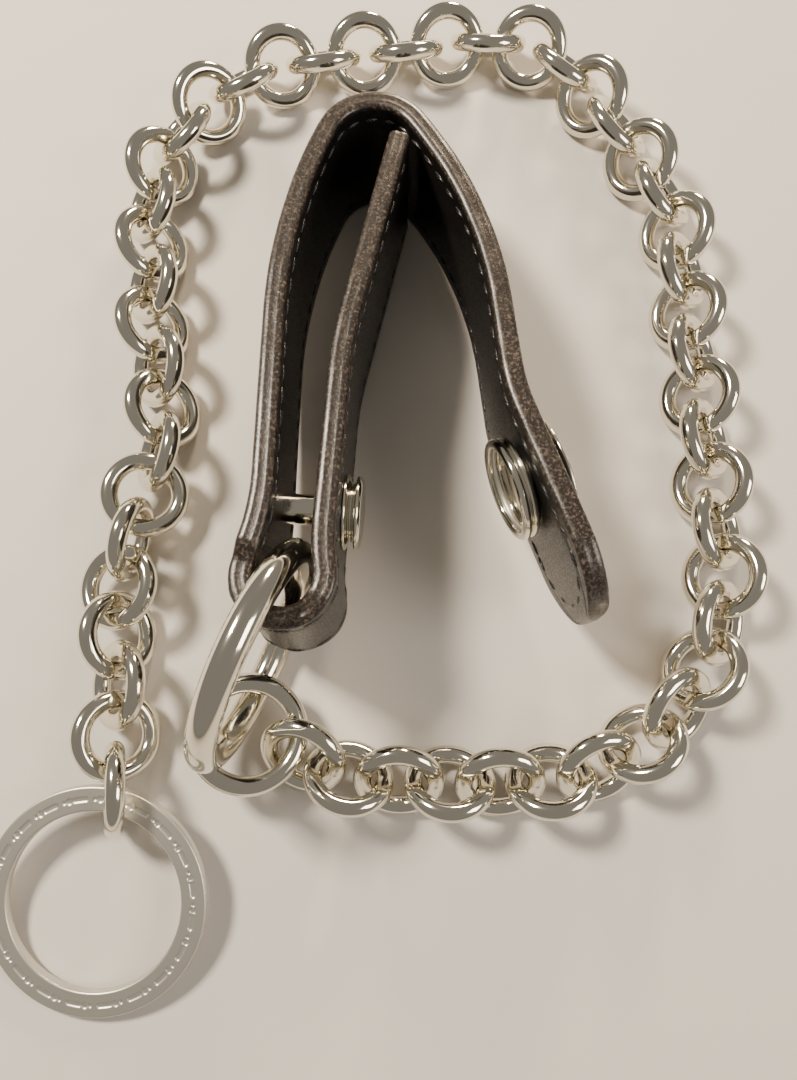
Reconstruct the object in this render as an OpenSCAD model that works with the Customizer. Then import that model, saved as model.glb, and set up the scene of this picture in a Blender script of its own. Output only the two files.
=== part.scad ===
// Trouser chain: a folded leather belt loop with a snap flap, a heavy ring through its fold,
// a jump ring, a round-link chain laid round the leather, and a flat key ring.

/* [Chain] */
// Diameter of the wire of a chain link
link_wire_d = 2.8; // [2.5:0.1:2.8]
// Radius of a chain link to the middle of its wire
link_r = 5.2; // [5.1:0.05:5.2]
// Distance from one link's centre to the next along the chain
link_pitch = 7.2; // [7.2:0.05:7.3]

/* [Rings] */
// Radius of the fold ring to the middle of its wire
fold_ring_r = 14.5; // [14.5:0.1:14.8]
// Diameter of the fold ring's wire
fold_wire_d = 4.1; // [3.4:0.1:4.1]
// Radius of the jump ring to the middle of its wire
jump_ring_r = 7.2; // [7.1:0.1:7.3]
// Diameter of the jump ring's wire
jump_wire_d = 2.9; // [2.4:0.1:2.9]
// Outer radius of the flat key ring
key_ring_r = 15.9; // [15.9:0.1:16.5]
// Width of the key ring's band
key_band_w = 3.5; // [2.5:0.1:3.5]
// Thickness of the key ring's band
key_band_t = 1.6; // [1.2:0.1:1.6]

/* [Belt loop] */
// Width of the leather strap, which stands on its long edge
strap_w = 22; // [21:0.5:22]
// Thickness of the strap's face ply and of its lining
ply_t = 1.5; // [1.2:0.1:1.5]
// Distance of each row of stitching from the strap's edge
stitch_inset = 2.9; // [2.4:0.1:3]
// Angle by which the ring lifts the strap's folded end
strap_tilt = 4; // [3:0.5:4]

/* [Snap and concho] */
// Diameter of the snap's socket
socket_d = 15; // [14:0.5:15]
// Diameter of the snap's stud
stud_d = 10.6; // [10:0.1:10.8]
// Diameter of the concho's dished base
concho_d = 18; // [15:0.5:19]
// Number of petals on the concho's flower
petals = 8; // [6:1:12]

/* [Hidden] */
$fn = 64;

// Place of the laid-out part's middle in the frame in which the routes below are given
middle = [-2.31, 38.82];

// Chain route: the first link's place and heading, then runs of [number of steps, bend before each]
chain_start = [-40, -10.5, 93];
chain_runs = [
  [4, 0], [1, -15], [2, 0], [2, 11], [1, 0], [1, -6], [2, 0], [6, -14], [4, -1], [1, -16],
  [2, -22], [3, -3], [2, -12], [7, 0], [7, -13], [3, -2], [1, -20]
];
chain_bends = [for (run = chain_runs) for (k = [1:run[0]]) run[1]];
links = len(chain_bends) + 1;
pairs = links / 2;

// The curb lie: links lean 45 degrees left and right in turn. The first eight are turned further,
// where the chain twists before the key ring, and so are lifted a little.
twists = [-115, -95, -90, -80, -65, -45, -25, -10];
lifts = [6.35, 5.7, 5.3, 5.7, 6.1, 6.6, 6.1, 5.7];
link_lift = 5.1;

// Fold ring: the middle of its upright wire inside the fold, and the way its plane runs from there
fold_wire = [-13.4, 21];
fold_way = 247;
fold_wire_r = fold_wire_d / 2;

// Jump ring: its centre and its lean
jump_centre = [-21.3, -3, 6.8];
jump_lean = 16;

// Key ring: its centre on the plan, its lean, and the way from its centre to the chain
key_centre = [-42.5, -25.7];
key_lean = 10.2;
key_way = 74.5;
key_bevel = 0.25;

// Strap route: start of its mid-line, then pieces of [length, turn], anticlockwise turns positive
fold_r = 5.4;
top_r = 7.4;
strap_start = [0.2875, 81.5128, -103];
strap_path = [
  [30.5, 0], [9, 9], [21, 0], [6, 13],
  arc(fold_r, -205),
  [4, 0], [8, 15], [23, 0], [32, -22],
  arc(top_r, -40), arc(top_r, -8), arc(top_r, -74),
  [12, -10], [21, -19], [9, 0], [7, 14], [17, 0], [11.2, 0]
];
fixed_end = 10;
flap_begin = 11;
tip = 17;
tip_r = 11.2;
arc_step = 6;
stud_piece = 2;
stud_along = 16.5;
socket_piece = 16;
socket_along = 7;
strap_y = 88.5;

// Relief cut in both long edges where the fold ring passes over and under the strap
relief_at = [-17.3, 11.8];
relief_r = 6.5;
relief_h = 1.3;

// Stitching
thread_t = 0.2;
thread_w = 0.7;

// Snap
socket_h = 3.1;
recess_d = 12.2;
socket_floor = 0.8;
stud_h = 2.6;
post_d = 4.4;
post_reach = 11.7;
cap_d = 9;
cap_h = 1.3;
spring_wire_d = 0.7;
spring_r = 6.3;
spring_z = 1.9;

// Concho
concho_rim_h = 1.2;
flower_d = 11.6;
screw_d = 3;
hole_gap = 0.1;

// ---- Routes

function pair_name(k) = str("link_pair_", k < 10 ? "0" : "", k);

function arc(r, turn) = [r * abs(turn) * PI / 180, turn];

// The place and heading at the end of a piece that starts at s
function after(s, piece) =
  let (len = piece[0], turn = piece[1])
  turn == 0
    ? [s[0] + len * cos(s[2]), s[1] + len * sin(s[2]), s[2]]
    : let (r = len * 180 / (PI * turn))
      [s[0] + r * (sin(s[2] + turn) - sin(s[2])),
       s[1] - r * (cos(s[2] + turn) - cos(s[2])),
       s[2] + turn];

strap_at = [
  for (i = 0, s = strap_start; i <= len(strap_path);
       s = i < len(strap_path) ? after(s, strap_path[i]) : s, i = i + 1) s
];

chain_at = [
  for (i = 0, s = chain_start; i < links;
       s = i < links - 1 ? after([s[0], s[1], s[2] + chain_bends[i]], [link_pitch, 0]) : s,
       i = i + 1) s
];

// A link points half way between the steps before and after it
function link_heading(i) =
  i < links - 1 ? (chain_at[i][2] + chain_at[i + 1][2]) / 2 : chain_at[i][2];
function link_roll(i) = (i % 2 == 0 ? 45 : -45) + (i < len(twists) ? twists[i] : 0);
function link_z(i) = i < len(lifts) ? lifts[i] : link_lift;

// ---- Placing

module laid() translate([-middle[0], -middle[1], 0]) children();

// The strap's own frame: its fold is lifted on the ring and its far end rests on the ground
module in_strap()
  laid() translate([0, strap_y, 0]) rotate([-strap_tilt, 0, 0]) translate([0, -strap_y, 0]) children();

module at(s) translate([s[0], s[1], 0]) rotate([0, 0, s[2]]) children();

// Children's +Z points out of the strap's left face (side 1) or right face (side -1)
module on_face(piece, along, side)
  in_strap() at(strap_at[piece]) translate([along, side * ply_t, strap_w / 2])
    rotate([-90 * side, 0, 0]) children();

module torus(r, wire_r) rotate_extrude() translate([r, 0]) circle(wire_r, $fn = 32);

// ---- Leather

// The strap's edge lines: the route's points, every few degrees on an arc, moved o to the left
function edge_points(first, last, o) = [
  for (i = [first:last]) let (n = max(1, ceil(abs(strap_path[i][1]) / arc_step))) for (k = [0:n - 1])
    beside(after(strap_at[i], strap_path[i] * (k / n)), o),
  beside(strap_at[last + 1], o)
];

function beside(s, o) = [s[0] - o * sin(s[2]), s[1] + o * cos(s[2])];

function backwards(list) = [for (i = [len(list) - 1:-1:0]) list[i]];

// A run of the strap's pieces between two offsets from its mid-line and two heights
module run(first, last, o0, o1, z0, z1)
  translate([0, 0, z0]) linear_extrude(z1 - z0)
    polygon(concat(edge_points(first, last, o0), backwards(edge_points(first, last, o1))));

module fold_relief()
  for (z = [-1, strap_w - relief_h])
    translate([relief_at[0], relief_at[1], z]) cylinder(r = relief_r, h = relief_h + 1);

module strap_hole(piece, along, d)
  at(strap_at[piece]) translate([along, 0, strap_w / 2]) rotate([90, 0, 0])
    cylinder(d = d, h = 40, center = true);

module body_leather(o0, o1)
  in_strap() difference() {
    run(0, fixed_end - 1, o0, o1, 0, strap_w);
    fold_relief();
    strap_hole(stud_piece, stud_along, post_d + 2 * hole_gap);
  }

module flap_leather(o0, o1)
  in_strap() difference() {
    run(flap_begin, tip, o0, o1, 0, strap_w);
    strap_hole(socket_piece, socket_along, screw_d + 2 * hole_gap);
    tip_corners();
  }

// What is cut away to leave the flap's end half round
module tip_corners()
  at(strap_at[tip]) translate([0, 0, strap_w / 2]) rotate([90, 0, 0]) difference() {
    translate([0, -strap_w, -10]) cube([strap_w, 2 * strap_w, 20]);
    cylinder(r = tip_r, h = 30, center = true);
  }

module thread_rows(first, last, side)
  for (z = [stitch_inset, strap_w - stitch_inset])
    run(first, last, side > 0 ? ply_t : -ply_t - thread_t, side > 0 ? ply_t + thread_t : -ply_t,
        z - thread_w / 2, z + thread_w / 2);

module belt_body_ply() color("#161412") body_leather(0, ply_t);

module belt_body_lining() color("#211c19") body_leather(-ply_t, 0);

module belt_stitching() color("#0c0c0d") in_strap() difference() {
  union() {
    thread_rows(0, fixed_end - 1, 1);
    thread_rows(0, 2, -1);
    thread_rows(6, fixed_end - 1, -1);
  }
  // The rows begin as far from the cut end as they lie from the edges
  at(strap_start) translate([-1, -ply_t - 1, 0]) cube([stitch_inset + 1, 2 * ply_t + 2, strap_w]);
}

module flap_ply() color("#161412") flap_leather(0, ply_t);

module flap_lining() color("#211c19") flap_leather(-ply_t, 0);

module flap_stitching() color("#0c0c0d") in_strap() {
  thread_rows(flap_begin, tip - 1, 1);
  thread_rows(flap_begin, tip - 1, -1);
}

// ---- Snap

module snap_stud() color("#c9c3ad") on_face(stud_piece, stud_along, 1)
  rotate_extrude() polygon([
    [0, 0], [stud_d / 2, 0], [stud_d / 2, 0.5], [stud_d / 2 - 1, 0.9], [stud_d / 2 - 1, 1.3],
    [stud_d / 2 - 0.2, 1.6], [stud_d / 2 - 0.2, 2.1], [stud_d / 2 - 0.7, stud_h], [0, stud_h]
  ]);

// The post runs from under the stud through both layers of the fold to the cap
module snap_post() color("#b9b3a0") on_face(stud_piece, stud_along, 1)
  translate([0, 0, -post_reach]) cylinder(d = post_d, h = post_reach);

module snap_cap() color("#c9c3ad") on_face(stud_piece, stud_along, 1)
  translate([0, 0, -post_reach]) rotate([180, 0, 0])
    rotate_extrude() intersection() {
      square([cap_d / 2, cap_h]);
      translate([0, cap_h - cap_d]) circle(r = cap_d, $fn = 180);
    }

module snap_socket() color("#cdc6ae") on_face(socket_piece, socket_along, -1)
  difference() {
    rotate_extrude() polygon([
      [0, 0], [5.8, 0], [5.8, 0.4], [socket_d / 2 - 0.9, 0.6], [socket_d / 2 - 0.2, 0.9],
      [socket_d / 2 - 0.2, 1.5], [socket_d / 2 - 0.6, 1.7], [socket_d / 2 - 0.2, 1.9],
      [socket_d / 2, 2.2], [socket_d / 2, 2.7], [socket_d / 2 - 0.4, socket_h], [0, socket_h]
    ]);
    translate([0, 0, socket_floor]) cylinder(d = recess_d, h = socket_h);
    translate([0, 0, -1]) cylinder(d = screw_d + 2 * hole_gap, h = socket_h);
    translate([0, 0, spring_z]) torus(spring_r, spring_wire_d / 2 + 0.05);
  }

// A split spring ring lies in a groove inside the socket
module snap_spring() color("#a9a69b") on_face(socket_piece, socket_along, -1)
  translate([0, 0, spring_z]) rotate([0, 0, 15]) rotate_extrude(angle = 330)
    translate([spring_r, 0]) circle(d = spring_wire_d, $fn = 24);

// ---- Concho

module concho_base() color("#cdc7b3") on_face(socket_piece, socket_along, 1)
  rotate_extrude() polygon([
    [screw_d / 2 + hole_gap, 0], [6, 0], [concho_d / 2 - 0.4, 0.7], [concho_d / 2, concho_rim_h],
    [concho_d / 2 - 0.5, concho_rim_h + 0.2], [6.3, 0.9], [screw_d / 2 + hole_gap, 0.9]
  ]);

// Two layers of round petals, the upper one smaller and turned by half a petal, and a low boss
module concho_flower() color("#d8d2be") on_face(socket_piece, socket_along, 1)
  difference() {
    union() {
      translate([0, 0, 0.9]) petal_layer(flower_d / 2, 1.1, 0);
      translate([0, 0, 2]) petal_layer(flower_d / 2 - 1.3, 1, 180 / petals);
      translate([0, 0, 3]) cylinder(d = 5.6, h = 0.5);
    }
    cylinder(d = screw_d + 2 * hole_gap, h = 10);
  }

module petal_layer(reach, h, turn) {
  petal_r = reach * sin(180 / petals) / (1 + sin(180 / petals)) * 1.06;
  cylinder(r = reach - petal_r, h = h);
  for (k = [0:petals - 1])
    rotate([0, 0, turn + k * 360 / petals]) translate([reach - petal_r, 0, 0])
      cylinder(r = petal_r, h = h);
}

// The screw holds the concho and the socket together through the flap
module concho_screw() color("#b9b3a0") on_face(socket_piece, socket_along, 1)
  difference() {
    union() {
      translate([0, 0, -2 * ply_t - socket_floor]) cylinder(d = screw_d, h = 2 * ply_t + socket_floor + 3.5);
      translate([0, 0, 3.5]) intersection() {
        cylinder(d = 4.6, h = 0.9);
        translate([0, 0, -3.1]) sphere(r = 4);
      }
    }
    translate([-3, -0.35, 4.05]) cube([6, 0.7, 1]);
  }

// ---- Rings and chain

module fold_ring() color("#d9cfae") laid()
  translate([fold_wire[0], fold_wire[1], fold_ring_r + fold_wire_r]) rotate([0, 0, fold_way])
    translate([fold_ring_r, 0, 0]) rotate([90, 0, 0]) torus(fold_ring_r, fold_wire_r);

module jump_ring() color("#d6cda9") laid()
  translate(jump_centre) rotate([0, jump_lean, 0]) torus(jump_ring_r, jump_wire_d / 2);

module key_ring() {
  inner = key_ring_r - key_band_w;
  half = key_band_t / 2;
  lift = key_ring_r * sin(key_lean) + half * cos(key_lean);
  color("#bdb6a2") laid()
    translate([key_centre[0], key_centre[1], lift]) rotate([0, 0, key_way]) rotate([0, -key_lean, 0])
      rotate_extrude($fn = 128) polygon([
        [inner + key_bevel, -half], [key_ring_r - key_bevel, -half], [key_ring_r, key_bevel - half],
        [key_ring_r, half - key_bevel], [key_ring_r - key_bevel, half], [inner + key_bevel, half],
        [inner, half - key_bevel], [inner, key_bevel - half]
      ]);
}

module chain_link(i)
  translate([chain_at[i][0], chain_at[i][1], link_z(i)])
    rotate([0, 0, link_heading(i)]) rotate([link_roll(i), 0, 0]) torus(link_r, link_wire_d / 2);

module link_pair(k) color(k % 2 == 0 ? "#d3caa6" : "#c8bf9c") laid() {
  chain_link(2 * k - 2);
  chain_link(2 * k - 1);
}

belt_body_ply();
belt_body_lining();
belt_stitching();
snap_cap();
snap_post();
snap_stud();
flap_ply();
flap_lining();
flap_stitching();
snap_socket();
snap_spring();
concho_base();
concho_flower();
concho_screw();
fold_ring();
jump_ring();
key_ring();
for (k = [1:pairs]) link_pair(k);
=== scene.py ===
"""Looks of a trouser chain: leather belt loop, snap, concho, rings and round-link chain."""

import math

import bpy
import numpy as np
from bpy.props import FloatProperty, FloatVectorProperty, IntProperty, PointerProperty
from mathutils import Matrix, Vector


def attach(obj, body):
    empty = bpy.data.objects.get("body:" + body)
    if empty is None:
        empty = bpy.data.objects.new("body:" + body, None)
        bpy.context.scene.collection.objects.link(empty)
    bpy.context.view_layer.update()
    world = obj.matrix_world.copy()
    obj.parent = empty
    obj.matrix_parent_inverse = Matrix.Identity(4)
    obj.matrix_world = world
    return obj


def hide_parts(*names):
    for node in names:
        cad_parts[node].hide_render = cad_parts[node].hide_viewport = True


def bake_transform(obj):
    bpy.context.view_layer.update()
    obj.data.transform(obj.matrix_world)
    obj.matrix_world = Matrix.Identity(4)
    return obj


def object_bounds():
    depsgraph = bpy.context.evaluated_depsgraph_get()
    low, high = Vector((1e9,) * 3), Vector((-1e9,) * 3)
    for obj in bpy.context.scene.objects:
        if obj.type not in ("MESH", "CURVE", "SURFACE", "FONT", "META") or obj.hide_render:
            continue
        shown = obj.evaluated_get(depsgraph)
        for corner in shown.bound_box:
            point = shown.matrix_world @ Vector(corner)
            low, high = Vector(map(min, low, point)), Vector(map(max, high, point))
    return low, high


bl_info = {
    "name": "Trouser chain",
    "version": (1, 0, 0),
    "blender": (4, 5, 0),
    "location": "View3D > Sidebar > Trouser chain",
    "description": "Builds the leather, stitches, metalwork and stage of a trouser chain",
    "category": "Object",
}

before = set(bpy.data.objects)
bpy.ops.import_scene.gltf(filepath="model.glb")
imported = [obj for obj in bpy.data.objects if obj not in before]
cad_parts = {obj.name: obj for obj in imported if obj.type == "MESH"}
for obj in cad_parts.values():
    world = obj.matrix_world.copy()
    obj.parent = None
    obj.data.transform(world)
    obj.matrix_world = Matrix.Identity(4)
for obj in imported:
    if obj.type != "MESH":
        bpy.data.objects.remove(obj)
CAD_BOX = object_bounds()

MM = 0.001

# The routes are those of the CAD model, in millimetres and degrees.
MIDDLE = (-2.31, 38.82)
STRAP_TILT = 4.0
STRAP_FAR_Y = 88.5
FOLD_ARC = 5.4
TOP_ARC = 7.4
STRAP_START = (0.2875, 81.5128, -103.0)
STRAP_PATH = [
    (30.5, 0), (9, 9), (21, 0), (6, 13), (FOLD_ARC * math.radians(205), -205),
    (4, 0), (8, 15), (23, 0), (32, -22), (TOP_ARC * math.radians(122), -122),
    (12, -10), (21, -19), (9, 0), (7, 14), (28.2, 0),
]
STRAP_CUT = 7
TOP_BEND = 9
STRAP_HALF = 11.0
PLY = 1.5
TIP_R = 11.2
RELIEF_AT = (-17.3, 11.8)
RELIEF_REACH = 7.8
RELIEF_FADE = 2.4
RELIEF_DEPTH = 1.35
STUD_S = 56.0
SOCKET_PIECE = 14
SOCKET_ALONG = 7.0
POST_REACH = 11.7

CHAIN_START = (-40.0, -10.5, 93.0)
CHAIN_RUNS = [
    (4, 0), (1, -15), (2, 0), (2, 11), (1, 0), (1, -6), (2, 0), (6, -14), (4, -1), (1, -16),
    (2, -22), (3, -3), (2, -12), (7, 0), (7, -13), (3, -2), (1, -20),
]
CHAIN_TWISTS = (-115, -95, -90, -80, -65, -45, -25, -10)
CHAIN_LIFTS = (6.35, 5.7, 5.3, 5.7, 6.1, 6.6, 6.1, 5.7)
CHAIN_LIFT = 5.1

FOLD_WIRE = (-13.4, 21.0)
FOLD_WAY = 247.0
JUMP_CENTRE = (-21.3, -3.0, 6.8)
JUMP_LEAN = 16.0
KEY_CENTRE = (-42.5, -25.7)
KEY_LEAN = 10.2
KEY_WAY = 74.5

CAMERA_AT = (0.0, 0.0, 125.0)
CAMERA_TILT = 12.0
CAMERA_LENS = 27.0


def linear(hex_colour):
    """An sRGB hex colour as linear red, green, blue."""
    parts = np.array([int(hex_colour[i : i + 2], 16) for i in (1, 3, 5)]) / 255
    out = np.where(parts <= 0.04045, parts / 12.92, ((parts + 0.055) / 1.055) ** 2.4)
    return tuple(float(v) for v in out)


# ---- Settings


class LeatherSettings(bpy.types.PropertyGroup):
    """Sizes and colours of the strap and its stitches."""

    grain: FloatProperty(name="Grain", description="Width of one grain cell of the leather",
                         default=0.55 * MM, unit="LENGTH")
    seam: FloatProperty(name="Seam", description="Depth of the seam between the two plies",
                        default=0.16 * MM, unit="LENGTH")
    stitch_pitch: FloatProperty(name="Stitch pitch", description="Distance from stitch to stitch",
                                default=3.4 * MM, unit="LENGTH")
    stitch_inset: FloatProperty(name="Stitch inset", description="Distance of a row from the edge",
                                default=2.9 * MM, unit="LENGTH")
    face: FloatVectorProperty(name="Face", description="Colour of the leather's face", size=3,
                              subtype="COLOR", default=linear("#110f0e"))
    edge: FloatVectorProperty(name="Edge", description="Colour of the burnished edge", size=3,
                              subtype="COLOR", default=linear("#1f1a17"))
    # Painted highlight: the pale flecks of this colour on the edges stand for the specular glints
    # of the waxed edge.
    edge_glint: FloatVectorProperty(name="Fleck", description="Colour of the edge's pale flecks", size=3,
                               subtype="COLOR", default=linear("#6c6056"))
    thread: FloatVectorProperty(name="Thread", description="Colour of the waxed thread", size=3,
                                subtype="COLOR", default=linear("#1d1c1d"))


class MetalSettings(bpy.types.PropertyGroup):
    """Sizes and colours of the rings, the chain and the snap."""

    link_r: FloatProperty(name="Link radius", description="Radius to the middle of the wire",
                          default=5.2 * MM, unit="LENGTH")
    link_wire: FloatProperty(name="Link wire", description="Radius of a link's wire",
                             default=1.4 * MM, unit="LENGTH")
    link_pitch: FloatProperty(name="Link pitch", description="Distance from link to link",
                              default=7.2 * MM, unit="LENGTH")
    fold_r: FloatProperty(name="Fold ring radius", description="Radius to the middle of the wire",
                          default=14.5 * MM, unit="LENGTH")
    fold_wire: FloatProperty(name="Fold ring wire", description="Radius of the fold ring's wire",
                             default=2.05 * MM, unit="LENGTH")
    jump_r: FloatProperty(name="Jump ring radius", description="Radius to the middle of the wire",
                          default=7.2 * MM, unit="LENGTH")
    jump_wire: FloatProperty(name="Jump ring wire", description="Radius of the jump ring's wire",
                             default=1.45 * MM, unit="LENGTH")
    key_r: FloatProperty(name="Key ring radius", description="Outer radius of the flat ring",
                         default=15.9 * MM, unit="LENGTH")
    key_band: FloatProperty(name="Key ring band", description="Width of the flat ring's band",
                            default=3.5 * MM, unit="LENGTH")
    key_thick: FloatProperty(name="Key ring thickness", description="Thickness of the flat ring",
                             default=1.6 * MM, unit="LENGTH")
    petals: IntProperty(name="Petals", description="Number of petals on the concho", default=8)
    polished: FloatVectorProperty(name="Polished", description="Colour of the polished nickel",
                                  size=3, subtype="COLOR", default=linear("#e3d8bd"))
    satin: FloatVectorProperty(name="Satin", description="Colour of the satin nickel", size=3,
                               subtype="COLOR", default=linear("#b9ae9c"))


# ---- Routes and places


def along(start, pieces, s):
    """Place and heading (radians) at distances s along straight and round pieces.

    Inside a piece of curvature k the heading is h0 + k t, and the place is
    (sin h - sin h0, cos h0 - cos h) / k from the piece's start, or t times the heading's
    direction where k is 0.
    """
    lengths = np.array([p[0] for p in pieces], float)
    curve = np.radians([p[1] for p in pieces]) / lengths
    begin = np.concatenate([[0], np.cumsum(lengths)])
    state = [(start[0], start[1], math.radians(start[2]))]
    for length, k in zip(lengths, curve):
        state.append(advance(*state[-1], k, length))
    i = np.clip(np.searchsorted(begin, s, side="right") - 1, 0, len(pieces) - 1)
    x, y, h = np.moveaxis(np.array(state)[i], -1, 0)
    return advance(x, y, h, curve[i], s - begin[i])


def advance(x, y, h, k, t):
    """A state moved on by distance t at curvature k."""
    flat = np.abs(k) < 1e-9
    safe = np.where(flat, 1.0, k)
    h1 = h + k * t
    dx = np.where(flat, t * np.cos(h), (np.sin(h1) - np.sin(h)) / safe)
    dy = np.where(flat, t * np.sin(h), (np.cos(h) - np.cos(h1)) / safe)
    return x + dx, y + dy, h1


def strap_length(pieces=None):
    """Length of the first pieces of the strap's route, or of all of it."""
    return sum(p[0] for p in STRAP_PATH[:pieces])


def to_row(points):
    """Layout millimetres to metres in the row frame."""
    return (points - np.array([MIDDLE[0], MIDDLE[1], 0])) * MM


def lean_strap(points):
    """The strap's own frame to the layout: turned by its tilt about the far end's line."""
    a = math.radians(STRAP_TILT)
    y, z = points[..., 1] - STRAP_FAR_Y, points[..., 2]
    out = points.copy()
    out[..., 1] = STRAP_FAR_Y + y * math.cos(a) + z * math.sin(a)
    out[..., 2] = z * math.cos(a) - y * math.sin(a)
    return out


def strap_point(s, o, z):
    """The row-frame point at distance s, o to the left of the mid-line and z up the strap."""
    x, y, h = along(STRAP_START, STRAP_PATH, s)
    return to_row(lean_strap(np.stack([x - o * np.sin(h), y + o * np.cos(h), z + 0 * x], -1)))


def seat(s, side, lift=0.0):
    """A 4x4 whose +Z leaves the strap's left (1) or right (-1) face at mid width."""
    here = np.array([float(s)])
    middle = np.array([STRAP_HALF])
    origin = strap_point(here, side * (PLY + lift), middle)[0]
    up = strap_point(here, side * (PLY + lift + 1), middle)[0] - origin
    across = strap_point(here, side * (PLY + lift), middle + 1)[0] - origin
    z = up / np.linalg.norm(up)
    x = across / np.linalg.norm(across)
    y = np.cross(z, x)
    m = np.eye(4)
    m[:3, 0], m[:3, 1], m[:3, 2], m[:3, 3] = x, y, z, origin
    return m


def turn(axis, degrees):
    """A 3x3 turn about an axis named X, Y or Z."""
    return np.array(Matrix.Rotation(math.radians(degrees), 3, axis))


def placed(points, rotation, origin):
    """Points turned by a 3x3 and moved to a layout place in millimetres."""
    return points @ rotation.T + to_row(np.array(origin, float))


# ---- Meshes


def grid_faces(n, m, closed_n, closed_m):
    """Quads of an n by m grid of points, closed round either way."""
    i = np.arange(n if closed_n else n - 1)
    j = np.arange(m if closed_m else m - 1)
    i, j = (a.ravel() for a in np.meshgrid(i, j, indexing="ij"))
    i2, j2 = (i + 1) % n, (j + 1) % m
    return np.stack([i * m + j, i2 * m + j, i2 * m + j2, i * m + j2], 1)


def add_mesh(name, points, quads, tris=None, sharp=35.0):
    """A smooth-shaded object from arrays, turned right side out by its signed volume."""
    v = points.reshape(-1, 3)
    tri = np.concatenate([quads[:, [0, 1, 2]], quads[:, [0, 2, 3]]])
    if tris is not None:
        tri = np.concatenate([tri, tris])
    a, b, c = v[tri[:, 0]], v[tri[:, 1]], v[tri[:, 2]]
    inside_out = np.einsum("ij,ij->i", a, np.cross(b, c)).sum() < 0
    faces = quads.tolist() + ([] if tris is None else tris.tolist())
    mesh = bpy.data.meshes.new(name)
    mesh.from_pydata(v.tolist(), [], [f[::-1] for f in faces] if inside_out else faces)
    mesh.polygons.foreach_set("use_smooth", np.ones(len(faces), bool))
    mesh.set_sharp_from_angle(angle=math.radians(sharp))
    mesh.update()
    obj = bpy.data.objects.new(name, mesh)
    bpy.context.scene.collection.objects.link(obj)
    return obj


def capped_tube(name, rings, sharp=50.0):
    """A tube through an (n, m, 3) stack of rings, each end closed by a fan to its centre."""
    n, m, _ = rings.shape
    quads = grid_faces(n, m, False, True)
    ends = np.stack([rings[0].mean(0), rings[-1].mean(0)])
    j = np.arange(m)
    k = (j + 1) % m
    first = np.stack([np.full(m, n * m), j, k], 1)
    last = np.stack([np.full(m, n * m + 1), (n - 1) * m + k, (n - 1) * m + j], 1)
    points = np.concatenate([rings.reshape(-1, 3), ends])
    return add_mesh(name, points, quads, np.concatenate([first, last]), sharp)


def revolve(profile, steps=96):
    """The closed or open profile (r, z) turned round Z: (r cos t, r sin t, z)."""
    t = np.linspace(0, 2 * np.pi, steps, endpoint=False)[:, None]
    r, z = profile[:, 0][None], profile[:, 1][None]
    return np.stack([r * np.cos(t), r * np.sin(t), z + 0 * t], -1)


def softened(profile, rounds=2):
    """Chaikin's rule: each corner is cut at a fifth of its two sides."""
    p = np.array(profile, float)
    for _ in range(rounds):
        q = 0.8 * p[:-1] + 0.2 * p[1:]
        w = 0.2 * p[:-1] + 0.8 * p[1:]
        p = np.concatenate([p[:1], np.stack([q, w], 1).reshape(-1, 2), p[-1:]])
    return p


def turned(name, profile, matrix, steps=96):
    """A lathe-turned piece: an (r, z) outline in mm from axis to axis, set on a seat."""
    p = softened(profile)
    p[[0, -1], 0] = 0.0
    pts = revolve(p * MM, steps)
    return closed_round(name, pts[:, 1:-1], pts[0, [0, -1]], matrix, 30)


def closed_round(name, grid, ends, matrix, sharp):
    """A grid closed round its first way, with fans to two end points, moved by a 4x4."""
    n, m, _ = grid.shape
    i = np.arange(n)
    k = (i + 1) % n
    fans = np.concatenate([
        np.stack([np.full(n, n * m), k * m, i * m], 1),
        np.stack([np.full(n, n * m + 1), i * m + m - 1, k * m + m - 1], 1),
    ])
    points = np.concatenate([grid.reshape(-1, 3), ends]) @ matrix[:3, :3].T + matrix[:3, 3]
    return add_mesh(name, points, grid_faces(n, m, True, False), fans, sharp)


def wire_ring(r, wire, n=96, m=28, weld=0.03):
    """A torus ((r + w cos u) cos t, (r + w cos u) sin t, w sin u), whose wire w is a little
    fuller, by a bell curve of t, where its ends were welded."""
    t = np.linspace(0, 2 * np.pi, n, endpoint=False)[:, None]
    u = np.linspace(0, 2 * np.pi, m, endpoint=False)[None]
    w = wire * (1 - weld + weld * np.exp(-(((t - np.pi) / 0.07) ** 2)))
    return np.stack([(r + w * np.cos(u)) * np.cos(t), (r + w * np.cos(u)) * np.sin(t),
                     w * np.sin(u) + 0 * t], -1)


# ---- Materials


def add_node(tree, kind, settings=None, **links):
    """A node with its settings and links: a number or colour sets a socket, a socket links it.

    A keyword names a socket, or its number after an underscore where names repeat.
    """
    node = tree.nodes.new(kind)
    for key, value in (settings or {}).items():
        setattr(node, key, value)
    for key, value in links.items():
        place = int(key[1:]) if key[1:].isdigit() else key.replace("_", " ")
        socket = node.inputs[place]
        if isinstance(value, bpy.types.NodeSocket):
            tree.links.new(value, socket)
        else:
            socket.default_value = value
    return node


def new_material(name):
    """A material with an empty tree and its output node."""
    mat = bpy.data.materials.get(name)
    if mat:
        return mat, None, None
    mat = bpy.data.materials.new(name)
    mat.use_nodes = True
    mat.node_tree.nodes.clear()
    return mat, mat.node_tree, add_node(mat.node_tree, "ShaderNodeOutputMaterial")


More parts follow.
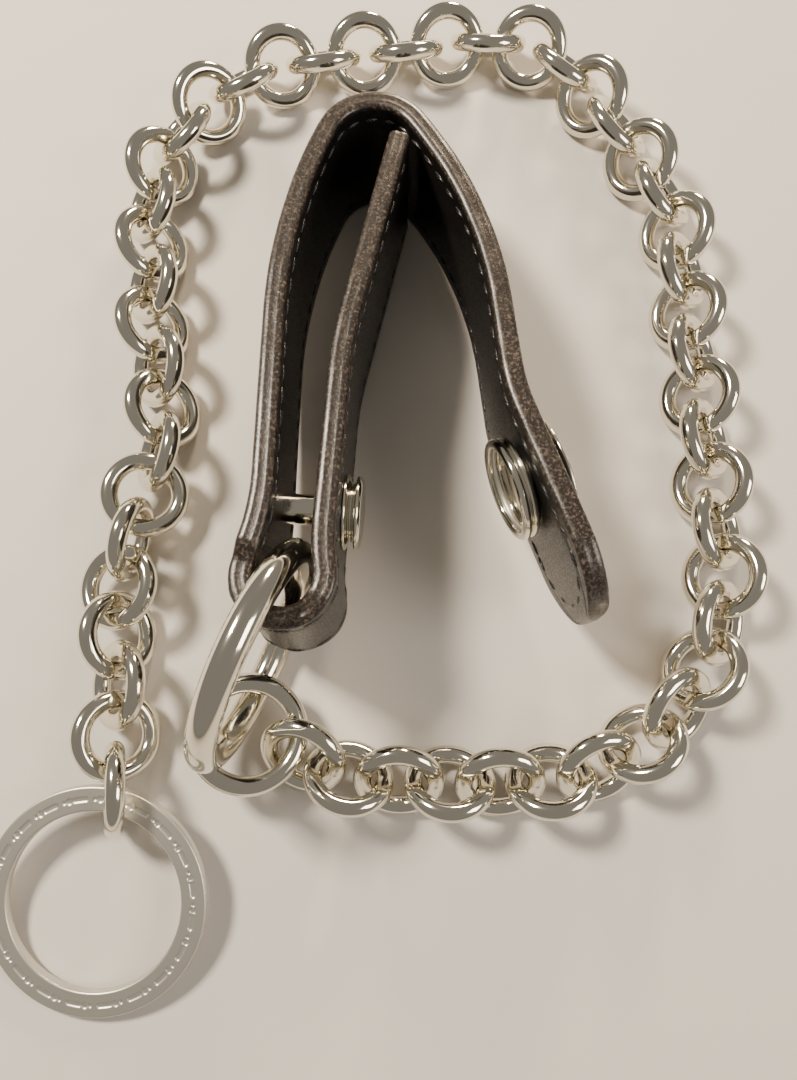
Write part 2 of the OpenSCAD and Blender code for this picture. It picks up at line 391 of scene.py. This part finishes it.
def black_bridle_leather():
    """Waxed black vegetable-tanned leather: a low sheen over fine grain on the faces, and burnished
    edges with painted glints: pale flecks painted into the edge's colour stand for the specular
    glints of the waxed edge. The attribute "edge" is 1 there."""
    mat, tree, out = new_material("black_bridle_leather")
    if tree is None:
        return mat
    s = bpy.context.scene.leather_settings
    place = add_node(tree, "ShaderNodeTexCoord").outputs["Object"]
    edge = add_node(tree, "ShaderNodeAttribute", {"attribute_name": "edge"}).outputs["Fac"]
    cells = add_node(tree, "ShaderNodeTexVoronoi", {"feature": "DISTANCE_TO_EDGE"},
                     Vector=place, Scale=1 / s.grain).outputs["Distance"]
    cloud = add_node(tree, "ShaderNodeTexNoise", None, Vector=place, Scale=1 / (6 * MM), Detail=5.0)
    speck = add_node(tree, "ShaderNodeTexNoise", None, Vector=place, Scale=1 / (0.42 * MM),
                     Detail=4.0, Roughness=0.7)
    speck = speck.outputs["Fac"]
    face = add_node(tree, "ShaderNodeMapRange", {"data_type": "FLOAT_VECTOR"},
                    _6=cloud.outputs["Fac"], _7=[0.35] * 3, _8=[0.7] * 3,
                    _9=[0.7 * c for c in s.face], _10=[1.5 * c for c in s.face])
    # Painted highlight: the speck noise mixes pale flecks into the edge colour as glints of the
    # waxed edge; the same noise also sets the edge's roughness and pits.
    painted_edge_glints = add_node(tree, "ShaderNodeMapRange", {"data_type": "FLOAT_VECTOR"}, _6=speck,
                      _7=[0.5] * 3, _8=[0.68] * 3, _9=s.edge, _10=s.edge_glint)
    # The face colour, with the burnished edge colour and its painted glints on the edges.
    worn_edge_and_glints = add_node(tree, "ShaderNodeMix", {"data_type": "RGBA"}, _0=edge,
                    _6=face.outputs["Vector"], _7=painted_edge_glints.outputs["Vector"])
    rough_face = add_node(tree, "ShaderNodeMapRange", None, Value=cells, From_Max=0.25, To_Min=0.5,
                          To_Max=0.34)
    rough_edge = add_node(tree, "ShaderNodeMapRange", None, Value=speck, From_Min=0.4,
                          From_Max=0.65, To_Min=0.36, To_Max=0.24)
    rough = add_node(tree, "ShaderNodeMix", None, _0=edge, _2=rough_face.outputs["Result"],
                     _3=rough_edge.outputs["Result"])
    grain = add_node(tree, "ShaderNodeBump", None, Strength=0.3, Distance=0.06 * MM, Height=cells)
    pits = add_node(tree, "ShaderNodeBump", None, Strength=0.5, Distance=0.09 * MM,
                    Height=speck, Normal=grain.outputs["Normal"])
    shader = add_node(tree, "ShaderNodeBsdfPrincipled", None, Base_Color=worn_edge_and_glints.outputs[2],
                      Roughness=rough.outputs[0], Normal=pits.outputs["Normal"], Coat_Weight=0.2,
                      Coat_Roughness=0.22)
    tree.links.new(shader.outputs["BSDF"], out.inputs["Surface"])
    return mat


def waxed_black_thread():
    """Twisted waxed polyester: dark, with painted glints: the bright bands of the twist, up to 3.5
    times the thread's colour, stand for the highlights of the wax on each strand.
    """
    mat, tree, out = new_material("waxed_black_thread")
    if tree is None:
        return mat
    s = bpy.context.scene.leather_settings
    place = add_node(tree, "ShaderNodeTexCoord").outputs["Object"]
    twist = add_node(tree, "ShaderNodeTexWave", {"bands_direction": "DIAGONAL"}, Vector=place,
                     Scale=1 / (0.9 * MM), Distortion=1.0).outputs["Fac"]
    # Painted highlight: the twist's bright bands, up to 3.5 times the thread colour, stand for
    # glints of the wax.
    colour = add_node(tree, "ShaderNodeMapRange", {"data_type": "FLOAT_VECTOR"}, _6=twist,
                      _7=[0.2] * 3, _8=[0.9] * 3, _9=[0.6 * c for c in s.thread],
                      _10=[3.5 * c for c in s.thread]).outputs["Vector"]
    bump = add_node(tree, "ShaderNodeBump", None, Strength=0.6, Distance=0.08 * MM, Height=twist)
    shader = add_node(tree, "ShaderNodeBsdfPrincipled", None, Base_Color=colour, Roughness=0.32,
                      Normal=bump.outputs["Normal"])
    tree.links.new(shader.outputs["BSDF"], out.inputs["Surface"])
    return mat


def nickel(name, colour, smooth, rough, scratch_mm, scratch_depth):
    """Nickel-plated brass: a warm grey metal whose gloss varies with handling and whose fine
    scratches are as wide as scratch_mm, drawn coarser than real ones so that they show."""
    mat, tree, out = new_material(name)
    if tree is None:
        return mat
    place = add_node(tree, "ShaderNodeTexCoord").outputs["Object"]
    cloud = add_node(tree, "ShaderNodeTexNoise", None, Vector=place, Scale=1 / (4 * MM), Detail=6.0,
                     Roughness=0.6).outputs["Fac"]
    fine = add_node(tree, "ShaderNodeTexNoise", None, Vector=place, Scale=1 / (scratch_mm * MM),
                    Detail=3.0, Distortion=1.5).outputs["Fac"]
    tint = add_node(tree, "ShaderNodeMapRange", {"data_type": "FLOAT_VECTOR"}, _6=cloud,
                    _7=[0.3] * 3, _8=[0.7] * 3, _9=[0.8 * c for c in colour],
                    _10=[min(1.0, 1.08 * c) for c in colour]).outputs["Vector"]
    gloss = add_node(tree, "ShaderNodeMapRange", None, Value=cloud, From_Min=0.35, From_Max=0.75,
                     To_Min=smooth, To_Max=rough).outputs["Result"]
    bump = add_node(tree, "ShaderNodeBump", None, Strength=0.25, Distance=scratch_depth * MM,
                    Height=fine)
    shader = add_node(tree, "ShaderNodeBsdfPrincipled", None, Base_Color=tint, Metallic=1.0,
                      Roughness=gloss, Normal=bump.outputs["Normal"])
    tree.links.new(shader.outputs["BSDF"], out.inputs["Surface"])
    return mat


def polished_nickel():
    """The chain, rings and snap."""
    s = bpy.context.scene.metal_settings
    return nickel("polished_nickel", s.polished, 0.09, 0.2, 0.6, 0.01)


def satin_nickel():
    """The flat key ring, tumbled to a soft satin."""
    s = bpy.context.scene.metal_settings
    return nickel("satin_nickel", s.satin, 0.2, 0.33, 0.35, 0.02)


def spring_steel():
    """The wire spring in the socket."""
    return nickel("spring_steel", linear("#a8a6a0"), 0.2, 0.35, 0.5, 0.01)


def pale_floor():
    """Matt pale card, so that only soft shadows show on it."""
    mat, tree, out = new_material("pale_floor")
    if tree is None:
        return mat
    shader = add_node(tree, "ShaderNodeBsdfPrincipled", None, Roughness=0.75,
                      Base_Color=(*linear("#cfcac3"), 1))
    tree.links.new(shader.outputs["BSDF"], out.inputs["Surface"])
    return mat


def finish_piece(obj, material, slot, body, *nodes):
    """Gives a piece its material and body, and hides the CAD nodes that it stands for. The slot
    argument is not used.
    """
    obj.data.materials.append(material)
    if body:
        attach(obj, body)
    if nodes:
        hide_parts(*nodes)
    return obj


# ---- Leather


def strap_section():
    """The strap's cross-section as (o, z, edge) round its outline, z from -half to half width.

    Each face is a straight run, and each long edge half of a superellipse
    (1.5 cos^0.7, 0.9 sin^0.7). edge is 1 on the rounded edges and fades over the face's margin.
    """
    bevel = 0.9
    flat = STRAP_HALF - bevel
    z = np.linspace(-flat, flat, 49)
    phi = np.linspace(0, np.pi, 19)[1:-1]
    o_edge = PLY * np.sign(np.cos(phi)) * np.abs(np.cos(phi)) ** 0.7
    z_edge = flat + bevel * np.sin(phi) ** 0.7
    o = np.concatenate([np.full(49, PLY), o_edge, np.full(49, -PLY), -o_edge])
    h = np.concatenate([z, z_edge, -z, -z_edge])
    return o, h, np.clip((np.abs(h) - flat + 0.15) / 0.5, 0, 1)


def strap_rings(s):
    """The strap's surface as rings of points at distances s, and the "edge" value of each.

    The section is swept along the route. It shrinks by a quarter circle at the cut end, and to a
    half circle at the tip. A groove of bell shape runs along the seam of the two plies, a shallow
    one under each row of stitches and one along each margin, the edge is pressed in where the
    fold ring crosses it, and a few slow waves keep it from being ruled straight.
    """
    set_ = bpy.context.scene.leather_settings
    o, h, edge = strap_section()
    total = strap_length()
    s = s[:, None]
    start = 0.9 - np.sqrt(np.clip(0.81 - np.clip(0.9 - s, 0, 0.9) ** 2, 0, None))
    past = np.clip(s - (total - TIP_R), 0, TIP_R)
    half = np.minimum(STRAP_HALF, np.sqrt(np.clip(TIP_R**2 - past**2, 1e-4, None))) - start
    last = np.clip(s - (total - 1.0), 0, 1.0)
    thick = (1 - start / PLY) * np.sqrt(np.clip(1 - last**2, 1e-4, None)) ** 0.7
    z = h * half / STRAP_HALF
    width_left = np.abs(h)
    rows = np.exp(-(((width_left - (STRAP_HALF - set_.stitch_inset / MM)) / 0.45) ** 2))
    margin = np.exp(-(((width_left - (STRAP_HALF - 1.5)) / 0.16) ** 2))
    face = (np.abs(o) > PLY - 1e-6).astype(float)
    dip = 1 - face * (0.07 * rows + 0.05 * margin)
    groove = set_.seam / MM * np.exp(-((o / 0.22) ** 2)) * (np.abs(h) > STRAP_HALF - 1.0)
    z = z - np.sign(h) * groove
    x, y, heading = along(STRAP_START, STRAP_PATH, s)
    away = np.hypot(x - RELIEF_AT[0], y - RELIEF_AT[1])
    near = np.clip((RELIEF_REACH - away) / RELIEF_FADE, 0, 1)
    press = RELIEF_DEPTH * near * near * (3 - 2 * near)
    share = np.clip((np.abs(h) - 5) / 6, 0, 1)
    z = z - np.sign(h) * press * share
    wave = 0.05 * np.sin(s * 0.37 + 1.3 * np.sign(h)) + 0.03 * np.sin(s * 0.91 + 0.6)
    z = z + np.where(np.abs(h) > STRAP_HALF - 1.0, -np.sign(h) * (0.06 + wave), 0)
    across = o * dip * thick
    pts = np.stack([x - across * np.sin(heading), y + across * np.cos(heading),
                    z + STRAP_HALF + 0 * x], -1)
    tip_edge = np.clip((past - 9.6) / 1.2, 0, 1)
    cut_edge = np.clip((1.0 - s) / 0.6, 0, 1)
    value = np.maximum(edge + 0 * s, np.maximum(tip_edge, cut_edge))
    return to_row(lean_strap(pts)), value


def strap_stations(first, last):
    """Distances along the strap, closer together at its two ends."""
    total = strap_length()
    near_start = first + (1 - np.cos(np.linspace(0, np.pi / 2, 8))) * 1.0 if first == 0 else [first]
    fan = (1 - np.sin(np.linspace(0, np.pi / 2, 40))) * TIP_R
    near_end = last - fan if last == total else [last]
    body = np.arange(near_start[-1] + 0.45, near_end[0], 0.45)
    return np.concatenate([near_start, body, near_end])


def make_strap(name, first, last):
    """One length of the strap with its edge attribute."""
    rings, value = strap_rings(strap_stations(first, last))
    obj = capped_tube(name, rings)
    attribute = obj.data.attributes.new("edge", "FLOAT", "POINT")
    ends = [value[0].mean(), value[-1].mean()]
    attribute.data.foreach_set("value", np.concatenate([value.ravel(), ends]).astype(np.float32))
    return obj


def make_stitches(name, first, last, tip=False):
    """Rows of single stitches on both faces. A stitch is a flat ellipsoid
    (a cos p, b sin p cos q, c sin p sin q), a along the row, b across it and c out of the face."""
    set_ = bpy.context.scene.leather_settings
    pitch, inset = set_.stitch_pitch / MM, set_.stitch_inset / MM
    s = np.arange(first + 0.5 * pitch, last, pitch)
    low = np.stack([s, np.full_like(s, inset), 0 * s], 1)
    high = np.stack([s, np.full_like(s, 2 * STRAP_HALF - inset), 0 * s], 1)
    spots = np.concatenate([low, high])
    if tip:
        reach = TIP_R - inset
        b = np.linspace(-np.pi / 2, np.pi / 2, int(np.pi * reach / pitch) + 1)
        centre = strap_length() - TIP_R
        arc = np.stack([centre + reach * np.cos(b), STRAP_HALF + reach * np.sin(b),
                        b + np.pi / 2], 1)
        spots = np.concatenate([spots, arc])
    spots = np.concatenate([np.c_[spots, np.ones(len(spots))], np.c_[spots, -np.ones(len(spots))]])
    rows, round_ = 6, 8
    p = np.linspace(0.12, np.pi - 0.12, rows)[None, :, None]
    q = np.linspace(0, 2 * np.pi, round_, endpoint=False)[None, None]
    s0, z0, b0, side = (spots[:, i][:, None, None] for i in range(4))
    row = 1.22 * np.cos(p) + 0 * q
    wide = 0.36 * np.sin(p) * np.cos(q)
    out = PLY - 0.1 + 0.3 * np.sin(p) * np.sin(q)
    slant = 0.12 * np.cos(p)
    along_s = s0 + row * np.cos(b0) - (wide + slant) * np.sin(b0)
    up = z0 + row * np.sin(b0) + (wide + slant) * np.cos(b0)
    points = strap_point(along_s.ravel(), (side * out).ravel(), up.ravel()).reshape(-1, 3)
    one = grid_faces(rows, round_, False, True)
    starts = rows * round_ * np.arange(len(spots))
    quads = (one[None] + starts[:, None, None]).reshape(-1, 4)
    caps = np.array([[0, 1, 2, 3], [0, 3, 4, 7], [4, 5, 6, 7]])
    caps = np.concatenate([caps, caps[:, ::-1] + (rows - 1) * round_])
    quads = np.concatenate([quads, (caps[None, :, ::-1] + starts[:, None, None]).reshape(-1, 4)])
    flip = side.ravel() < 0
    keep = np.concatenate([np.repeat(flip, len(one)), np.repeat(flip, len(caps))])
    quads[keep] = quads[keep][:, ::-1]
    return add_mesh(name, points, quads, None, 60)


class TROUSERCHAIN_OT_strap(bpy.types.Operator):
    """Build the two lengths of the leather strap; the outer one bends at the top"""

    bl_idname = "trouser_chain.strap"
    bl_label = "Strap"

    def execute(self, context):
        leather = black_bridle_leather()
        cut = strap_length(STRAP_CUT)
        fold = make_strap("strap_fold", 0, cut)
        finish_piece(fold, leather, "black_leather", "belt_loop", "belt_body_ply",
                     "belt_body_lining")
        flap = make_strap("strap_flap", cut, strap_length())
        finish_piece(flap, leather, "black_leather", None, "flap_ply", "flap_lining")
        bend_at_top(flap)
        return {"FINISHED"}


def bend_at_top(obj):
    """Bakes the piece's placement into its mesh. The two ends of the top bend are worked out but
    not used, so nothing here bends the piece.
    """
    entry, leave = strap_length(TOP_BEND), strap_length(TOP_BEND + 1)
    ends = strap_point(np.array([entry, leave]), 0.0, np.array([STRAP_HALF] * 2))
    start, end = ends
    end = np.array([end[0], start[1], start[2]])
    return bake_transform(obj)


class TROUSERCHAIN_OT_stitches(bpy.types.Operator):
    """Sew the rows of stitches on both faces of the strap and round its tip"""

    bl_idname = "trouser_chain.stitches"
    bl_label = "Stitches"

    def execute(self, context):
        thread = waxed_black_thread()
        inset = context.scene.leather_settings.stitch_inset / MM
        cut = strap_length(STRAP_CUT)
        fold = make_stitches("stitches_fold", inset, cut)
        finish_piece(fold, thread, "black_thread", "belt_loop", "belt_stitching")
        flap = make_stitches("stitches_flap", cut, strap_length() - TIP_R, tip=True)
        finish_piece(flap, thread, "black_thread", None, "flap_stitching")
        bend_at_top(flap)
        return {"FINISHED"}


# ---- Snap and concho


class TROUSERCHAIN_OT_snap(bpy.types.Operator):
    """Turn the stud, the cap behind it and the socket, and finish the post and spring"""

    bl_idname = "trouser_chain.snap"
    bl_label = "Snap"

    def execute(self, context):
        metal = polished_nickel()
        stud = turned("snap_stud_turned", [
            (0, 0), (5.3, 0), (5.3, 0.45), (4.5, 0.8), (4.1, 1.0), (4.1, 1.35), (4.6, 1.55),
            (5.2, 1.7), (5.2, 2.1), (4.8, 2.5), (4.2, 2.6), (3.4, 2.45), (0, 2.4),
        ], seat(STUD_S, 1))
        finish_piece(stud, metal, "polished_nickel", "belt_loop", "snap_stud")
        cap = turned("snap_cap_turned", [
            (0, 0), (4.2, 0), (4.5, 0.15), (4.5, 0.4), (4.2, 0.7), (3.2, 1.05), (1.8, 1.25),
            (0, 1.3),
        ], flipped(seat(STUD_S, 1, -POST_REACH)))
        finish_piece(cap, metal, "polished_nickel", "belt_loop", "snap_cap")
        socket = turned("snap_socket_turned", [
            (0, 0), (5.7, 0), (5.8, 0.4), (6.6, 0.55), (7.3, 0.8), (7.35, 1.4), (6.9, 1.68),
            (7.35, 1.95), (7.5, 2.3), (7.4, 2.8), (7.0, 3.1), (6.5, 3.05), (6.15, 2.8),
            (6.1, 2.3), (6.55, 2.1), (6.55, 1.6), (6.1, 1.4), (6.1, 0.85), (2.0, 0.8), (1.6, 0.8),
            (0, 0.8),
        ], seat(socket_distance(), -1))
        finish_piece(socket, metal, "polished_nickel", "belt_flap", "snap_socket")
        paint_node("snap_post", metal)
        paint_node("snap_spring", spring_steel())
        return {"FINISHED"}


def socket_distance():
    """Distance along the strap at which the socket and the concho sit."""
    return strap_length(SOCKET_PIECE) + SOCKET_ALONG


def flipped(matrix):
    """The seat turned over, so that +Z points the other way."""
    return matrix @ np.diag([1.0, -1.0, -1.0, 1.0])


def paint_node(node, material):
    """Puts a material on a CAD node's own object."""
    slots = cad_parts[node].data.materials
    slots.clear()
    slots.append(material)


def petal_dome(reach, base, height, petals, turned_by, n=192, m=28):
    """A flower in mm: at angle t the rim is reach (0.84 + 0.16 |cos(petals t / 2)|^0.6), and the
    height is that of a quarter circle of the share of the way in, dished along each petal."""
    t = np.linspace(0, 2 * np.pi, n, endpoint=False)[:, None]
    lobes = np.abs(np.cos(petals * (t + turned_by) / 2))
    rim = reach * (0.84 + 0.16 * lobes**0.6)
    share = np.linspace(0, 0.97, m)[None]
    r = rim * np.cos(share * np.pi / 2) ** 0.75
    dish = 1 - 0.22 * lobes**2 * np.sin(share * np.pi) ** 2
    z = base + height * np.sin(share * np.pi / 2) ** 0.7 * dish
    foot = np.array([0.4, 0.8])[None]
    r = np.concatenate([rim * foot, r], 1)
    z = np.concatenate([np.full((n, 2), base), z], 1)
    return np.stack([r * np.cos(t), r * np.sin(t), z], -1) * MM


def flower_layer(name, grid, matrix):
    """A layer whose grid's first column is its foot and whose last is its middle."""
    return closed_round(name, grid, grid[:, [0, -1]].mean(0), matrix, 45)


class TROUSERCHAIN_OT_concho(bpy.types.Operator):
    """Build the dished base, two layers of petals and the finish of the screw"""

    bl_idname = "trouser_chain.concho"
    bl_label = "Concho"

    def execute(self, context):
        metal = polished_nickel()
        place = seat(socket_distance(), 1)
        petals = context.scene.metal_settings.petals
        base = turned("concho_dish", [
            (0, 0), (6, 0), (8.5, 0.62), (8.95, 0.95), (9.0, 1.2), (8.8, 1.4), (8.45, 1.36),
            (7.6, 1.05), (6.4, 0.86), (5.6, 0.9), (0, 0.9),
        ], place, 128)
        finish_piece(base, metal, "polished_nickel", "belt_flap", "concho_base")
        lower = flower_layer("concho_petals_lower", petal_dome(5.8, 0.88, 1.3, petals, 0), place)
        finish_piece(lower, metal, "polished_nickel", "belt_flap", "concho_flower")
        half = math.pi / petals
        upper = flower_layer("concho_petals_upper", petal_dome(4.4, 1.9, 1.5, petals, half), place)
        finish_piece(upper, metal, "polished_nickel", "belt_flap")
        paint_node("concho_screw", metal)
        return {"FINISHED"}


# ---- Rings and chain


def make_ring(name, points):
    """A closed torus-like grid as an object."""
    n, m, _ = points.shape
    return add_mesh(name, points, grid_faces(n, m, True, True), None, 60)


class TROUSERCHAIN_OT_rings(bpy.types.Operator):
    """Build the heavy fold ring and the jump ring"""

    bl_idname = "trouser_chain.rings"
    bl_label = "Rings"

    def execute(self, context):
        s = context.scene.metal_settings
        metal = polished_nickel()
        way = math.radians(FOLD_WAY)
        radius = s.fold_r / MM
        centre = (FOLD_WIRE[0] + radius * math.cos(way), FOLD_WIRE[1] + radius * math.sin(way),
                  radius + s.fold_wire / MM)
        upright = turn("Z", FOLD_WAY) @ turn("X", 90)
        ring = make_ring("fold_ring_wire", placed(wire_ring(s.fold_r, s.fold_wire, 192, 48, 0.0),
                                                  upright, centre))
        finish_piece(ring, metal, "polished_nickel", "fold_ring", "fold_ring")
        jump = make_ring("jump_ring_wire", placed(wire_ring(s.jump_r, s.jump_wire, 128, 36, 0.02),
                                                  turn("Y", JUMP_LEAN), JUMP_CENTRE))
        finish_piece(jump, metal, "polished_nickel", "jump_ring", "jump_ring")
        return {"FINISHED"}


def chain_places():
    """Each link's place, heading and roll, as the chain's runs and twists give them."""
    pitch = bpy.context.scene.metal_settings.link_pitch / MM
    bends = np.concatenate([np.full(n, bend, float) for n, bend in CHAIN_RUNS])
    headings = CHAIN_START[2] + np.cumsum(bends)
    steps = pitch * np.stack([np.cos(np.radians(headings)), np.sin(np.radians(headings))], 1)
    xy = np.concatenate([[CHAIN_START[:2]], CHAIN_START[:2] + np.cumsum(steps, 0)])
    before = np.concatenate([[headings[0]], headings])
    after = np.concatenate([headings, [headings[-1]]])
    count = len(xy)
    roll = np.where(np.arange(count) % 2 == 0, 45.0, -45.0)
    roll[: len(CHAIN_TWISTS)] += CHAIN_TWISTS
    lift = np.full(count, CHAIN_LIFT)
    lift[: len(CHAIN_LIFTS)] = CHAIN_LIFTS
    return np.c_[xy, lift], (before + after) / 2, roll


class TROUSERCHAIN_OT_chain(bpy.types.Operator):
    """Build the chain's links, two to a body"""

    bl_idname = "trouser_chain.chain"
    bl_label = "Chain"

    def execute(self, context):
        s = context.scene.metal_settings
        metal = polished_nickel()
        n, m = 72, 24
        wire = wire_ring(s.link_r, s.link_wire, n, m)
        places, headings, rolls = chain_places()
        faces = grid_faces(n, m, True, True)
        for pair in range(len(places) // 2):
            both = [placed(wire, turn("Z", headings[i]) @ turn("X", rolls[i]), places[i])
                    for i in (2 * pair, 2 * pair + 1)]
            points = np.concatenate([p.reshape(-1, 3) for p in both])
            node = f"link_pair_{pair + 1:02d}"
            quads = np.concatenate([faces, faces + n * m])
            obj = add_mesh(f"links_{pair + 1:02d}", points, quads, None, 60)
            finish_piece(obj, metal, "polished_nickel", node, node)
        return {"FINISHED"}


def key_band(outer, band, thick):
    """The flat ring's outline (r, z): two flats joined by quarter-round corners."""
    c = 0.28 * MM
    q = np.linspace(0, np.pi / 2, 6)
    half = thick / 2
    top = np.stack([np.linspace(outer - band + c, outer - c, 34), np.full(34, half)], 1)
    out = np.stack([outer - c + c * np.sin(q), half - c + c * np.cos(q)], 1)[1:]
    low_out = np.stack([outer - c + c * np.cos(q), -half + c - c * np.sin(q)], 1)
    bottom = top[::-1] * [1, -1]
    low_in = np.stack([outer - band + c - c * np.sin(q), -half + c - c * np.cos(q)], 1)[1:]
    top_in = np.stack([outer - band + c - c * np.cos(q), half - c + c * np.sin(q)], 1)[:-1]
    return np.concatenate([top, out, low_out[:-1], bottom, low_in, top_in])


def punch_marks(angle, across, radius):
    """Depth from 0 to 1 of a border of punched marks.

    Each 18 degree cell has a long dash, then a round dot and a small one. across is in
    millimetres from the middle of the band, whose radius is radius.
    """
    cell = np.degrees(angle) % 18
    arc = radius * math.radians(1)
    dash = np.maximum(np.abs(cell - 5) - 3.2, 0) * arc
    d1 = np.hypot(dash, across) - 0.32
    d2 = np.hypot((cell - 11.5) * arc, across) - 0.42
    d3 = np.hypot((cell - 14.6) * arc, across) - 0.24
    d = np.minimum(d1, np.minimum(d2, d3))
    return np.clip(0.5 - d / 0.16, 0, 1)


class TROUSERCHAIN_OT_key_ring(bpy.types.Operator):
    """Build the flat key ring with its border of punched marks"""

    bl_idname = "trouser_chain.key_ring"
    bl_label = "Key ring"

    def execute(self, context):
        s = context.scene.metal_settings
        outline = key_band(s.key_r, s.key_band, s.key_thick)
        steps = 960
        points = revolve(outline, steps)
        angle = np.linspace(0, 2 * np.pi, steps, endpoint=False)[:, None]
        radius = (s.key_r - s.key_band / 2) / MM
        across = outline[:, 0][None] / MM - radius
        top = (outline[:, 1] > s.key_thick / 2 - 1e-7)[None]
        points[..., 2] -= 0.14 * MM * punch_marks(angle, across, radius) * top
        lean = math.radians(KEY_LEAN)
        lift = (s.key_r * math.sin(lean) + s.key_thick / 2 * math.cos(lean)) / MM
        way = turn("Z", KEY_WAY) @ turn("Y", -KEY_LEAN)
        ring = make_ring("key_ring_band", placed(points, way, (*KEY_CENTRE, lift)))
        finish_piece(ring, satin_nickel(), "satin_nickel", "key_ring", "key_ring")
        return {"FINISHED"}


# ---- Stage


def area_light(name, at, look, size, power, colour):
    """A soft square light at a place, aimed at another, in metres."""
    data = bpy.data.lights.new(name, "AREA")
    data.size, data.energy, data.color = size, power, colour
    obj = bpy.data.objects.new(name, data)
    obj.location = at
    aim = Vector(at) - Vector(look)
    obj.rotation_euler = aim.to_track_quat("Z", "Y").to_euler()
    bpy.context.scene.collection.objects.link(obj)


class TROUSERCHAIN_OT_stage(bpy.types.Operator):
    """Lay the floor, and set the lights and the camera"""

    bl_idname = "trouser_chain.stage"
    bl_label = "Stage"

    def execute(self, context):
        low, high = CAD_BOX
        reach = 30.0
        corners = np.array([[-reach, -reach], [reach, -reach], [reach, reach], [-reach, reach]])
        points = np.c_[corners, np.full(4, low[2] - 0.0001)]
        floor = add_mesh("floor", points, np.array([[0, 1, 2, 3]]))
        floor.data.materials.append(pale_floor())
        world = bpy.data.worlds.new("soft_room")
        world.use_nodes = True
        sky = world.node_tree.nodes["Background"]
        sky.inputs["Color"].default_value = (*linear("#cdc7be"), 1)
        sky.inputs["Strength"].default_value = 0.42
        context.scene.world = world
        span = float(high[1] - low[1])
        centre = (0.0, 0.0, 0.0)
        area_light("key_light", (-1.6 * span, 1.1 * span, 2.4 * span), centre, 0.55 * span, 4.6,
                   linear("#fff1dc"))
        area_light("fill_light", (2.2 * span, -0.6 * span, 1.8 * span), centre, 1.2 * span, 1.3,
                   linear("#fbeee0"))
        area_light("back_light", (0.6 * span, 2.6 * span, 1.0 * span), centre, 0.5 * span, 2.2,
                   linear("#ffe6c4"))
        cam = bpy.data.cameras.new("camera")
        cam.lens, cam.sensor_width, cam.sensor_fit = CAMERA_LENS, 36.0, "AUTO"
        cam.clip_start = 0.005
        obj = bpy.data.objects.new("camera", cam)
        obj.location = to_row(np.array(CAMERA_AT))
        obj.rotation_euler = (math.radians(CAMERA_TILT), 0, 0)
        context.scene.collection.objects.link(obj)
        context.scene.camera = obj
        return {"FINISHED"}


class TROUSERCHAIN_PT_panel(bpy.types.Panel):
    """Lists the trouser chain's settings and operators"""

    bl_idname = "TROUSERCHAIN_PT_panel"
    bl_label = "Trouser chain"
    bl_space_type = "VIEW_3D"
    bl_region_type = "UI"
    bl_category = "Trouser chain"

    def draw(self, context):
        for settings in (context.scene.leather_settings, context.scene.metal_settings):
            for name in settings.__annotations__:
                self.layout.prop(settings, name)
        for operator in OPERATORS:
            self.layout.operator(operator.bl_idname)


OPERATORS = (
    TROUSERCHAIN_OT_strap,
    TROUSERCHAIN_OT_stitches,
    TROUSERCHAIN_OT_snap,
    TROUSERCHAIN_OT_concho,
    TROUSERCHAIN_OT_rings,
    TROUSERCHAIN_OT_chain,
    TROUSERCHAIN_OT_key_ring,
    TROUSERCHAIN_OT_stage,
)
CLASSES = (LeatherSettings, MetalSettings, *OPERATORS, TROUSERCHAIN_PT_panel)


def register():
    for cls in CLASSES:
        bpy.utils.register_class(cls)
    bpy.types.Scene.leather_settings = PointerProperty(type=LeatherSettings)
    bpy.types.Scene.metal_settings = PointerProperty(type=MetalSettings)


def unregister():
    del bpy.types.Scene.metal_settings
    del bpy.types.Scene.leather_settings
    for cls in reversed(CLASSES):
        bpy.utils.unregister_class(cls)


def main():
    """Registers the classes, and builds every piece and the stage."""
    register()
    for operator in OPERATORS:
        group, name = operator.bl_idname.split(".")
        getattr(getattr(bpy.ops, group), name)()


if __name__ == "__main__":
    main()
